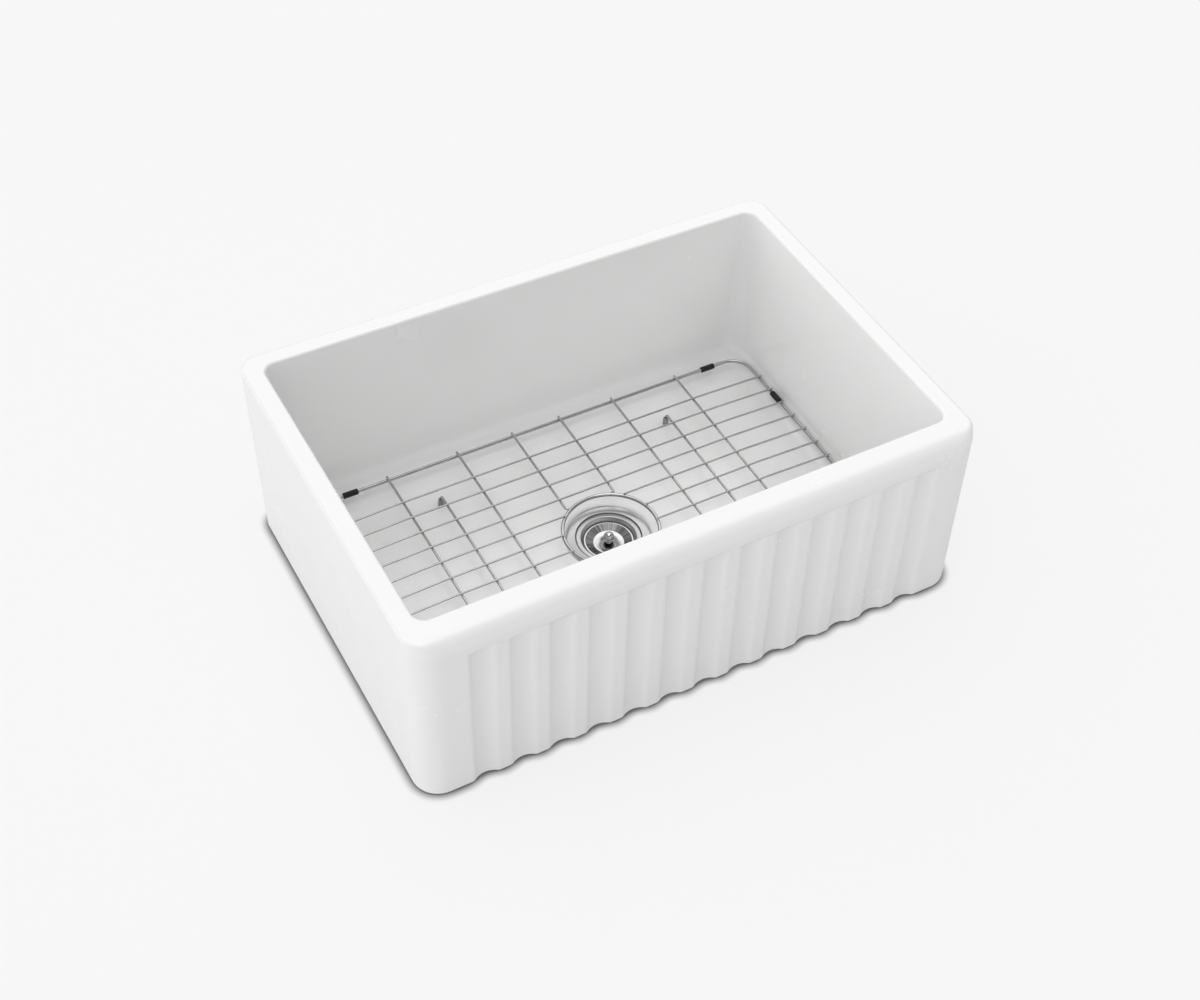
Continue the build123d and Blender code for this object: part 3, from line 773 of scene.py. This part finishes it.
def repeat_tree():
    """Puts a copy of one piece at each point, turned by the point's own turn."""
    tree, given = open_tree("repeated piece", Piece="Object")
    piece = add_node(tree, "GeometryNodeObjectInfo", Object=given["Piece"])
    turn = add_node(tree, "GeometryNodeInputNamedAttribute", data_type="FLOAT_VECTOR", Name="turn")
    spread = add_node(tree, "GeometryNodeInstanceOnPoints", Points=given["Geometry"])
    feed(tree, spread.inputs["Instance"], piece.outputs["Geometry"])
    feed(tree, spread.inputs["Rotation"], turn.outputs["Attribute"])
    return close_tree(tree, given, spread.outputs[0])


def set_input(modifier, tree, label, value):
    """Sets a modifier's input by the identifier of its socket."""
    for item in tree.interface.items_tree:
        if item.item_type == "SOCKET" and item.in_out == "INPUT" and item.name == label:
            modifier[item.identifier] = value
            return
    raise KeyError(label)


def grown(name, points, edges, tree, turns=None, **inputs):
    """Runs a tree on loose points or edges and keeps the result as a plain mesh object."""
    mesh = bpy.data.meshes.new(name + "_lines")
    mesh.from_pydata([tuple(p) for p in points], edges, [])
    if turns:
        kept = mesh.attributes.new("turn", "FLOAT_VECTOR", "POINT")
        for item, turn in zip(kept.data, turns):
            item.vector = turn
    base = new_object(name + "_lines", mesh)
    modifier = base.modifiers.new("grow", "NODES")
    modifier.node_group = tree
    for label, value in inputs.items():
        set_input(modifier, tree, label.replace("_", " "), value)
    solid = applied(base)
    bpy.data.objects.remove(base)
    solid.name = name
    work = bmesh.new()
    work.from_mesh(solid)
    bmesh.ops.recalc_face_normals(work, faces=work.faces)
    work.to_mesh(solid)
    work.free()
    obj = new_object(name, solid)
    obj.data.set_sharp_from_angle(angle=math.radians(50))
    return obj


def chained(paths, closed):
    """Points and edges of several paths."""
    points, edges = [], []
    for path in paths:
        first = len(points)
        points += path
        edges += [(first + k, first + k + 1) for k in range(len(path) - 1)]
        if closed:
            edges.append((len(points) - 1, first))
    return points, edges


# ---------------------------------------------------------------- the wire grid
def grid_piece(name, slot, points, edges, tree, nodes, turns=None, **inputs):
    """A piece of the grid that a tree grows, with its finish."""
    made = grown(name, points, edges, tree, turns, Material=bpy.data.materials[slot], **inputs)
    finish_piece(made, slot, "bottom_grid", *nodes)


def repeated(name, slot, model, places, turns=None, nodes=()):
    """Copies of a model piece at places of the grid, joined to one piece. The model itself goes."""
    turns = turns or [(0, 0, 0)] * len(places)
    grid_piece(name, slot, places, [], repeat_tree(), nodes, turns, Piece=model)
    bpy.data.objects.remove(model)


def wire_nodes(prefix):
    """Names of the CAD pieces of the grid that start with one prefix."""
    return sorted(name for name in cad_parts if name.startswith(prefix))


def long_wire_paths(sizes):
    """Centre lines of the long wires, which step down to the frame wire near its ends."""
    paths = []
    step_end = FRAME_HIGH.x - 8 * MM
    step_start = corners("cross_wire_6")[1].x + 10 * MM
    rail = FRAME_HIGH.z + sizes.long_radius
    for name in wire_nodes("long_wire"):
        low, high = corners(name)
        row, level = (low.y + high.y) / 2, high.z - sizes.long_radius
        line = [(low.x, level)]
        if low.x < -step_start:
            line = [(low.x, rail), (-step_end, rail), (-step_start, level)]
        if high.x > step_start:
            line += [(step_start, level), (step_end, rail), (high.x, rail)]
        else:
            line.append((high.x, level))
        paths.append([Vector((x, row, z)) for x, z in line])
    return paths


def cross_wire_paths(sizes):
    """Centre lines of the cross wires, with a neck where one ends at the drain ring."""
    paths = []
    radius = sizes.cross_radius
    neck_start, neck_end = 3.2 * MM, 1.5 * MM
    for name in wire_nodes("cross_wire"):
        low, high = corners(name)
        x, level = (low.x + high.x) / 2, high.z - radius
        stations = [(x, low.y), (x, high.y)]
        if high.x - low.x >= 3 * radius:
            outer, inner, side = (high.x, low.x, 1) if x > 0 else (low.x, high.x, -1)
            behind_ring = high.y > RING_BACK + 40 * MM
            near, far, way = (low.y, high.y, 1) if behind_ring else (high.y, low.y, -1)
            straight, tip = outer - side * radius, inner + side * radius * 0.6
            stations = [(straight, far), (straight, near + way * neck_start), (tip, near + way * neck_end)]
        paths.append([Vector((x, y, level)) for x, y in stations])
    return paths


def leg_paths(sizes):
    """Centre lines of the leg wires."""
    paths = []
    radius = sizes.cross_radius
    for name in wire_nodes("leg_wire"):
        low, high = corners(name)
        x, level = (low.x + high.x) / 2, high.z - radius
        back, front = high.y - radius, low.y + radius
        line = ((back, low.z), (back, level), (front, level), (front, low.z))
        paths.append([Vector((x, y, z)) for y, z in line])
    return paths


class SINK_OT_grid_wires(bpy.types.Operator):
    """Make the frame, the drain ring and all straight wires of the grid"""

    bl_idname = "sink.grid_wires"
    bl_label = "Grid wires"

    def execute(self, context):
        sizes = context.scene.sink_grid
        tree = wire_tree()
        thin, middling, thick = sizes.long_radius, sizes.cross_radius, sizes.frame_radius

        def wires(name, paths, radius, bend, nodes, closed=False):
            points, edges = chained(paths, closed)
            grid_piece(
                name, "wire_steel", points, edges, tree, nodes, Wire_radius=radius, Bend_radius=bend
            )

        long_wires, cross_wires, legs = (wire_nodes(n) for n in ("long_wire", "cross_wire", "leg_wire"))
        wires("long_wires", long_wire_paths(sizes), thin, sizes.long_bend, long_wires)
        wires("cross_wires", cross_wire_paths(sizes), middling, sizes.neck_bend, cross_wires)
        wires("leg_wires", leg_paths(sizes), middling, sizes.leg_bend, legs)

        low, high = FRAME_LOW + Vector((thick,) * 3), FRAME_HIGH - Vector((thick,) * 3)
        turns = ((low.x, low.y), (high.x, low.y), (high.x, high.y), (low.x, high.y))
        rail = [Vector((x, y, low.z)) for x, y in turns]
        wires("frame_wire", [rail], thick, sizes.frame_bend, ["grid_frame"], closed=True)

        centre = middle("grid_drain_ring")
        reach = half_width("grid_drain_ring") - thick
        circle = [
            Vector((centre.x + reach * math.cos(a), centre.y + reach * math.sin(a), centre.z))
            for a in full_turn(sizes.ring_steps)
        ]
        wires("drain_ring_wire", [circle], thick, 0.0, ["grid_drain_ring"], closed=True)
        return {"FINISHED"}


def nugget(name, size, flat):
    """A small rounded weld bead."""
    work = bmesh.new()
    bmesh.ops.create_icosphere(work, subdivisions=2, radius=1.0)
    bmesh.ops.scale(work, vec=(size, size, flat), verts=work.verts)
    for face in work.faces:
        face.smooth = True
    mesh = bpy.data.meshes.new(name)
    work.to_mesh(mesh)
    work.free()
    return bpy.data.objects.new(name, mesh)


class SINK_OT_grid_welds(bpy.types.Operator):
    """Put a weld nugget at each place where two wires of the grid cross"""

    bl_idname = "sink.grid_welds"
    bl_label = "Grid welds"

    def execute(self, context):
        sizes = context.scene.sink_grid
        radius, end_margin = sizes.cross_radius, 8 * MM
        under = []
        for name in wire_nodes("cross_wire") + wire_nodes("leg_wire"):
            low, high = corners(name)
            x = (low.x + high.x) / 2
            if high.x - low.x > 4 * radius:
                x = math.copysign(max(abs(low.x), abs(high.x)) - radius, x)
            under.append((x, low, high))
        places = []
        for name in wire_nodes("long_wire"):
            long_low, long_high = corners(name)
            row = (long_low.y + long_high.y) / 2
            for x, low, high in under:
                if low.y + end_margin < row < high.y - end_margin and long_low.x < x < long_high.x:
                    places.append(Vector((x, row, high.z)))
        rails = (FRAME_LOW.y + sizes.frame_radius, FRAME_HIGH.y - sizes.frame_radius)
        for x, low, high in under:
            places += [Vector((x, rail, FRAME_HIGH.z)) for rail in rails if low.y < rail < high.y]
        bead = nugget("weld_bead", sizes.weld_size, sizes.weld_size * 0.5)
        repeated("grid_welds", "wire_steel", bead, places)
        return {"FINISHED"}


class SINK_OT_grid_bumpers(bpy.types.Operator):
    """Make the rubber sleeves round the frame wire"""

    bl_idname = "sink.grid_bumpers"
    bl_label = "Grid bumpers"

    def execute(self, context):
        sizes = context.scene.sink_grid
        nodes = wire_nodes("bumper")
        low, high = levels("bumper_back_left")
        radius, half = (high - low) / 2, half_width("bumper_back_left")
        bore = sizes.frame_radius + 0.05 * MM
        profile = eased_outline(
            [
                (bore, -half, 0.3 * MM),
                (radius * 0.97, -half, 0.8 * MM),
                (radius, -half * 0.9, 1 * MM),
                (radius, half * 0.9, 1 * MM),
                (radius * 0.97, half, 0.8 * MM),
                (bore, half, 0.3 * MM),
            ],
            6,
        )
        turns = []
        for name in nodes:
            low, high = corners(name)
            along_x = high.x - low.x > high.y - low.y
            turns.append((0, math.pi / 2, 0) if along_x else (math.pi / 2, 0, 0))
        sleeve = lathe("sleeve", profile, (0, 0), sizes.rubber_steps)
        places = [middle(name) for name in nodes]
        repeated("grid_bumpers", "black_rubber", sleeve, places, turns, nodes)
        return {"FINISHED"}


class SINK_OT_grid_feet(bpy.types.Operator):
    """Make the rubber caps on the legs of the grid"""

    bl_idname = "sink.grid_feet"
    bl_label = "Grid feet"

    def execute(self, context):
        sizes = context.scene.sink_grid
        nodes = wire_nodes("grid_foot")
        low, high = levels(nodes[0])
        radius, tall = half_width(nodes[0]), high - low
        wire, sole = sizes.cross_radius, 1.6 * MM
        profile = eased_outline(
            [
                (0, 0, 0),
                (radius * 0.92, 0, 0.8 * MM),
                (radius, 2.2 * MM, 1.5 * MM),
                (radius * 0.95, tall * 0.7, 3 * MM),
                (radius * 0.78, tall, 1.6 * MM),
                (wire + 0.25 * MM, tall, 0.4 * MM),
                (wire, tall - 1.0 * MM, 0.3 * MM),
                (wire, sole, 0),
                (0, sole, 0),
            ],
            6,
        )
        cap = lathe("cap", profile, (0, 0), sizes.rubber_steps)
        places = [Vector((*middle(name).xy, levels(name)[0])) for name in nodes]
        repeated("grid_feet", "grey_rubber", cap, places, nodes=nodes)
        return {"FINISHED"}


# ---------------------------------------------------------------- the strainer
class SINK_OT_strainer_body(bpy.types.Operator):
    """Make the strainer body with its flange"""

    bl_idname = "sink.strainer_body"
    bl_label = "Strainer body"

    def execute(self, context):
        sizes = context.scene.sink_strainer
        low, top = levels("strainer_body")
        seal_top = levels("flange_seal")[1]
        bore, flange = sizes.bore_radius, sizes.flange_radius
        ledge = levels("strainer_basket")[1] - 1.5 * MM
        cup, cup_outside, socket = bore - 3.1 * MM, 41.8 * MM, 45 * MM
        cup_floor, cup_under = 3.5 * MM, 1.5 * MM
        outlet, outlet_outside = 19 * MM, 20.6 * MM
        profile = eased_outline(
            [
                (flange, seal_top, 0.3 * MM),
                (flange, top, 1.0 * MM),
                (flange - 3 * MM, top, 2 * MM),
                (bore + 0.6 * MM, top - 0.7 * MM, 1.0 * MM),
                (bore, ledge, 0.6 * MM),
                (cup, ledge, 0.8 * MM),
                (cup, cup_floor, 2.5 * MM),
                (outlet, cup_floor, 0.6 * MM),
                (outlet, low, 0.3 * MM),
                (outlet_outside, low, 0.3 * MM),
                (outlet_outside, cup_under, 0.4 * MM),
                (cup_outside, cup_under, 0.6 * MM),
                (cup_outside, ledge - 1.5 * MM, 0.3 * MM),
                (socket, ledge - 1.5 * MM, 0.5 * MM),
                (socket, seal_top, 0.3 * MM),
            ]
        )
        body = lathe("flanged_strainer", profile, DRAIN, sizes.segments)
        finish_piece(body, "brushed_strainer_steel", "sink", "strainer_body")
        return {"FINISHED"}


class SINK_OT_strainer_basket(bpy.types.Operator):
    """Make the lift-out basket with its slots and the holes in its bottom"""

    bl_idname = "sink.strainer_basket"
    bl_label = "Strainer basket"

    def execute(self, context):
        sizes = context.scene.sink_strainer
        low, top = levels("strainer_basket")
        reach = half_width("strainer_basket")
        rim_low = top - 1.4 * MM
        shoulder = levels("lid_seal")[0] - 0.1 * MM
        wall = 1.2 * MM
        throat, mouth, ledge, foot = 33.6 * MM, 37.4 * MM, 31 * MM, 27 * MM
        profile = eased_outline(
            [
                (0, low, 0),
                (foot, low, 2.5 * MM),
                (ledge + wall, shoulder - wall, 0.4 * MM),
                (throat + wall, shoulder - wall, 1.2 * MM),
                (throat + wall, top - 4 * MM, 2 * MM),
                (mouth + wall, rim_low, 0.8 * MM),
                (reach, rim_low, 0.5 * MM),
                (reach, top, 0.6 * MM),
                (mouth, top, 2 * MM),
                (throat, top - 4 * MM, 3 * MM),
                (throat, shoulder, 0.8 * MM),
                (ledge, shoulder, 0.6 * MM),
                (foot - wall, low + wall, 2 * MM),
                (0, low + wall, 0),
            ],
            7,
        )
        basket = lathe("slotted_basket", profile, DRAIN, sizes.segments)
        tool = new_object("slots", self.cutters(sizes, low, foot))
        cut = basket.modifiers.new("slots", "BOOLEAN")
        cut.operation, cut.object, cut.solver = "DIFFERENCE", tool, "EXACT"
        solid = applied(basket)
        basket.modifiers.clear()
        basket.data = solid
        bpy.data.objects.remove(tool)
        basket.data.set_sharp_from_angle(angle=math.radians(40))
        finish_piece(basket, "brushed_strainer_steel", "basket", "strainer_basket")
        return {"FINISHED"}

    def cutters(self, sizes, low, foot):
        """Mesh of the blocks that cut the slots and the rods that cut the holes."""
        work = bmesh.new()
        slot_low, slot_high = low + 2.4 * MM, low + 8.4 * MM
        block = Matrix.Diagonal((16 * MM, 2.4 * MM, slot_high - slot_low, 1))
        axis = Matrix.Translation((DRAIN.x, DRAIN.y, (slot_low + slot_high) / 2))
        for angle in full_turn(sizes.basket_slots):
            made = bmesh.ops.create_cube(work, size=1.0)
            shape = axis @ Matrix.Rotation(angle, 4, "Z") @ Matrix.Translation((foot, 0, 0)) @ block
            bmesh.ops.transform(work, matrix=shape, verts=made["verts"])
        hole_radius, hole_ring = 2.6 * MM, 17 * MM
        holes = [(hole_ring, angle) for angle in full_turn(sizes.basket_holes)] + [(0.0, 0.0)]
        for out, angle in holes:
            made = bmesh.ops.create_cone(
                work, cap_ends=True, segments=20, radius1=hole_radius, radius2=hole_radius, depth=6 * MM
            )
            place = (DRAIN.x + out * math.cos(angle), DRAIN.y + out * math.sin(angle), low)
            bmesh.ops.translate(work, vec=place, verts=made["verts"])
        mesh = bpy.data.meshes.new("slots")
        work.to_mesh(mesh)
        work.free()
        return mesh


class SINK_OT_basket_lid(bpy.types.Operator):
    """Make the dished lid and its knob"""

    bl_idname = "sink.basket_lid"
    bl_label = "Lid and knob"

    def execute(self, context):
        sizes = context.scene.sink_strainer
        low, top = levels("basket_lid")
        reach = half_width("basket_lid")
        disc, dish = DISC_RADIUS, reach - LID_RIM
        sheet, stud_hole = 0.9 * MM, 2.45 * MM
        profile = eased_outline(
            [
                (stud_hole, low, 0),
                (disc, low, 1.2 * MM),
                (dish, top - sheet, 1.0 * MM),
                (reach, top - sheet, 0.3 * MM),
                (reach, top, 0.4 * MM),
                (dish, top, 0.5 * MM),
                (disc, low + sheet, 0.5 * MM),
                (stud_hole, low + sheet, 0),
            ],
            6,
        )
        lid = lathe("dished_lid", profile, DRAIN, sizes.segments)
        finish_piece(lid, "polished_strainer_steel", "lid", "basket_lid")

        stud_end, tip = levels("lid_knob")
        ball = half_width("lid_knob")
        stud, neck, collar = 2.4 * MM, 2.6 * MM, 4.0 * MM
        disc_top = low + sheet
        start = -math.degrees(math.acos(neck / ball))
        sphere = arc((0, tip - ball), ball, start, 90, 22)
        sphere[-1] = (0, tip)
        post = eased_outline(
            [
                (stud, stud_end, 0.3 * MM),
                (stud, disc_top, 0),
                (collar, disc_top, 0.3 * MM),
                (collar, disc_top + 1.4 * MM, 0.6 * MM),
                (neck + 0.15 * MM, disc_top + 2.4 * MM, 0.8 * MM),
            ],
            4,
        )
        knob = lathe("ball_knob", [(0, stud_end)] + post + sphere, DRAIN, sizes.knob_steps)
        finish_piece(knob, "polished_strainer_steel", "lid", "lid_knob")
        return {"FINISHED"}


class SINK_OT_drain_fixings(bpy.types.Operator):
    """Finish the seals, gasket, washer, locknut and lid nut"""

    bl_idname = "sink.drain_fixings"
    bl_label = "Drain fixings"

    def execute(self, context):
        fixings = {
            "flange_seal": "seal_rubber",
            "drain_gasket": "seal_rubber",
            "lid_seal": "seal_rubber",
            "friction_washer": "fibre_washer",
            "locknut": "cast_nut_metal",
            "lid_nut": "polished_strainer_steel",
        }
        for node, slot in fixings.items():
            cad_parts[node].material_slots[0].material = bpy.data.materials[slot]
        return {"FINISHED"}


# ---------------------------------------------------------------- the stage
class SINK_OT_stage(bpy.types.Operator):
    """Set up the floor, lamp, sky and camera"""

    bl_idname = "sink.stage"
    bl_label = "Stage"

    def execute(self, context):
        settings = context.scene.sink_stage
        self.floor(settings, context.scene.sink_finish)
        self.lamp(settings)
        self.sky(settings)
        self.camera(settings)
        context.scene.view_settings.view_transform = "Standard"
        return {"FINISHED"}

    def floor(self, settings, colours):
        """Pale floor that looks even and keeps the shadow under the basin's edge."""
        reach = settings.floor_reach
        points = [(-reach, -reach, 0), (reach, -reach, 0), (reach, reach, 0), (-reach, reach, 0)]
        floor = mesh_object("studio_floor", points, [(0, 1, 2, 3)], smooth=False)
        tree, shader = shade(
            "studio_floor", Roughness=0.9, Specular_IOR_Level=0.0, Emission_Color=(1, 1, 1, 1)
        )
        seen = tree.nodes.new("ShaderNodeLightPath").outputs["Is Camera Ray"]
        paint = mix(tree, "RGBA", seen, tuple(colours.floor), tuple(colours.seen_floor))
        feed(tree, shader.inputs["Base Color"], paint)
        near = add_node(
            tree, "ShaderNodeAmbientOcclusion", Distance=settings.contact_reach, samples=16
        )
        clear = ramp(tree, near.outputs["AO"], 0.0, settings.floor_glow, 0.5, 0.95)
        feed(tree, shader.inputs["Emission Strength"], math_node(tree, "MULTIPLY", seen, clear))
        floor.data.materials.append(bpy.data.materials["studio_floor"])

    def lamp(self, settings):
        """A wide overhead lamp, a little to the left and behind."""
        data = bpy.data.lights.new("overhead_lamp", "SUN")
        data.energy, data.angle = settings.key_strength, math.radians(80)
        lamp = new_object("overhead_lamp", data)
        lamp.rotation_euler = [math.radians(value) for value in (-6, -10, 0)]

    def sky(self, settings):
        """Light that is stronger low on the left and weaker in front, and boxes for reflections."""
        world = bpy.data.worlds.new("studio_sky")
        bpy.context.scene.world = world
        world.use_nodes = True
        tree = world.node_tree
        way = tree.nodes.new("ShaderNodeTexCoord").outputs["Generated"]
        x, y, z = add_node(tree, "ShaderNodeSeparateXYZ", Vector=way).outputs
        up = ramp(tree, z, 0.0, settings.sky_top)
        side = ramp(tree, x, settings.sky_side, -settings.sky_side, -1.0, 1.0)
        front = ramp(tree, y, -settings.sky_front, 0.0, -1.0, 0.0)
        low = ramp(tree, z, 1.0, 0.0, 0.0, 0.6)
        ends = math_node(tree, "MULTIPLY", summed(tree, side, front), low)
        soft = math_node(tree, "MAXIMUM", summed(tree, up, ends, settings.sky_base), 0.0)

        box_way = (0.37, 0.59, 0.718)
        facing = add_node(tree, "ShaderNodeVectorMath", operation="DOT_PRODUCT")
        feed(tree, facing.inputs[0], way)
        feed(tree, facing.inputs[1], box_way)
        soft_box = ramp(tree, facing.outputs["Value"], 0.0, settings.box_strength, 0.8, 0.92)
        strip = ramp(tree, z, 0.0, settings.strip_strength, 0.93, 0.97)
        boxes = summed(tree, soft_box, strip, settings.box_base)

        rays = tree.nodes.new("ShaderNodeLightPath").outputs
        lit = mix(tree, "FLOAT", rays["Is Glossy Ray"], soft, boxes)
        seen = mix(tree, "FLOAT", rays["Is Camera Ray"], lit, settings.backdrop)
        back = tree.nodes["Background"]
        feed(tree, back.inputs["Strength"], seen)
        feed(tree, back.inputs["Color"], (1, 1, 1, 1))

    def camera(self, settings):
        """The photograph's own viewpoint, fitted to the edges of the sink and the lines of the grid."""
        place = Vector((-0.8097, -1.4326, 1.8007))
        right = Vector((0.8683, -0.49409, 0.04407))
        down = Vector((-0.32878, -0.63975, -0.69472))
        forward = Vector((0.37144, 0.58873, -0.71793))
        data = bpy.data.cameras.new("photo_camera")
        data.lens = settings.focal_length
        data.sensor_width = 36.0
        data.shift_x, data.shift_y = -0.0555, -0.0061
        data.clip_end = 100.0
        camera = new_object("photo_camera", data)
        turn = Matrix((right, -down, -forward)).transposed()
        camera.matrix_world = Matrix.Translation(place) @ turn.to_4x4()
        bpy.context.scene.camera = camera


OPERATORS = [
    SINK_OT_stage,
    SINK_OT_basin,
    SINK_OT_grid_wires,
    SINK_OT_grid_welds,
    SINK_OT_grid_bumpers,
    SINK_OT_grid_feet,
    SINK_OT_strainer_body,
    SINK_OT_strainer_basket,
    SINK_OT_basket_lid,
    SINK_OT_drain_fixings,
]


class SINK_PT_panel(bpy.types.Panel):
    """Buttons and sizes of the sink"""

    bl_idname = "SINK_PT_panel"
    bl_label = "Farmhouse sink"
    bl_space_type = "VIEW_3D"
    bl_region_type = "UI"
    bl_category = "Sink"

    def draw(self, context):
        for operator in OPERATORS:
            self.layout.operator(operator.bl_idname)
        for name, group in SETTINGS.items():
            box = self.layout.box()
            box.label(text=group.__doc__)
            for prop in group.__annotations__:
                box.prop(getattr(context.scene, name), prop)


def register():
    for group in SETTINGS.values():
        bpy.utils.register_class(group)
    for name, group in SETTINGS.items():
        setattr(bpy.types.Scene, name, PointerProperty(type=group))
    for item in OPERATORS + [SINK_PT_panel]:
        bpy.utils.register_class(item)


def unregister():
    for item in reversed(OPERATORS + [SINK_PT_panel]):
        bpy.utils.unregister_class(item)
    for name in SETTINGS:
        delattr(bpy.types.Scene, name)
    for group in reversed(list(SETTINGS.values())):
        bpy.utils.unregister_class(group)


def main():
    """Registers the add-on, makes the finishes and makes every piece in order."""
    register()
    make_materials()
    for operator in OPERATORS:
        group, name = operator.bl_idname.split(".")
        getattr(getattr(bpy.ops, group), name)()


if __name__ == "__main__":
    main()
